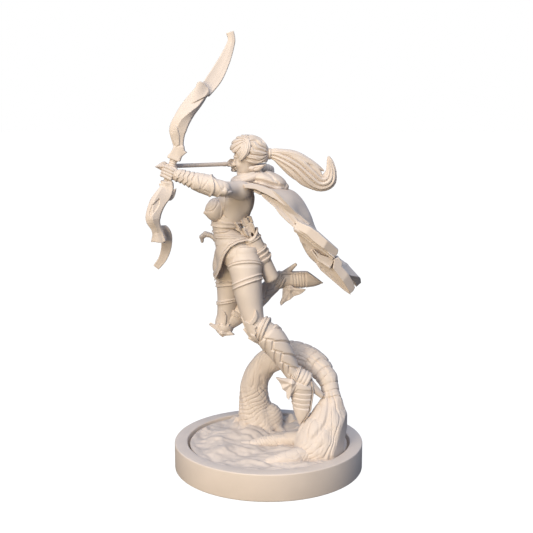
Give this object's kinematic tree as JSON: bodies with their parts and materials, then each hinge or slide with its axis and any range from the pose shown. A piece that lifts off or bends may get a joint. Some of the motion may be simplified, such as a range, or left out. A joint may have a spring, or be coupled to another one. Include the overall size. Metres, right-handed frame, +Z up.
{
  "type": "miniature figure",
  "caption": "Unpainted resin tabletop miniature: a leaping archer drawing a recurve bow above a gnarled root hand, on a round lipped base with a drop-in scenic disc.",
  "frame": {"origin": "centre of the round base's underside", "axes": "+Z up; the archer aims along -X; -Y is the archer's left side, the side that shows the bow arm"},
  "size_m": [0.0274, 0.025, 0.0565],
  "materials": {
    "resin": "matt bone-coloured cast resin",
    "resin_detail": "matt bone-coloured cast resin, fine detail castings"
  },
  "bodies": {
    "base": {"base_ring": "resin"},
    "figure": {"ground_disc": "resin_detail", "ground_rocks": "resin_detail", "root_riser": "resin", "root_crown": "resin", "root_hand": "resin", "root_finger_rear": "resin", "root_finger_front": "resin", "root_claws": "resin_detail", "pelvis": "resin", "skirt": "resin", "waist": "resin", "waist_wraps": "resin", "torso": "resin", "bodice_cups": "resin", "left_thigh": "resin", "left_greave": "resin", "left_greave_cuff": "resin", "left_knee_guard": "resin", "left_boot": "resin", "left_heel": "resin", "left_boot_wing": "resin", "right_thigh": "resin", "right_greave": "resin", "right_greave_cuff": "resin", "right_knee_guard": "resin", "right_boot": "resin", "right_heel": "resin", "right_boot_wing": "resin", "left_upper_arm": "resin", "left_bracer": "resin", "left_cuff": "resin", "left_hand": "resin", "right_upper_arm": "resin", "right_bracer": "resin", "right_hand": "resin", "head": "resin", "ears": "resin", "hair_cap": "resin_detail", "hair_fringe": "resin_detail", "hair_tie": "resin_detail", "ponytail": "resin_detail", "hood_collar": "resin", "hood_bag": "resin", "cape": "resin", "bow_grip": "resin", "bow_upper_sleeve": "resin", "bow_upper_blade": "resin", "bow_lower_sleeve": "resin", "bow_lower_blade": "resin", "arrow_shaft": "resin", "arrow_head": "resin_detail", "arrow_fletching": "resin_detail", "quiver_tube": "resin", "quiver_bands": "resin_detail", "quiver_arrows": "resin_detail", "dagger_hilt": "resin_detail", "dagger_scabbard": "resin_detail"}
  },
  "joints": [
    {"name": "figure_lift", "type": "slide", "parent": "base", "child": "figure", "axis": [0, 0, 1], "range_m": [0, 0.01]}
  ]
}
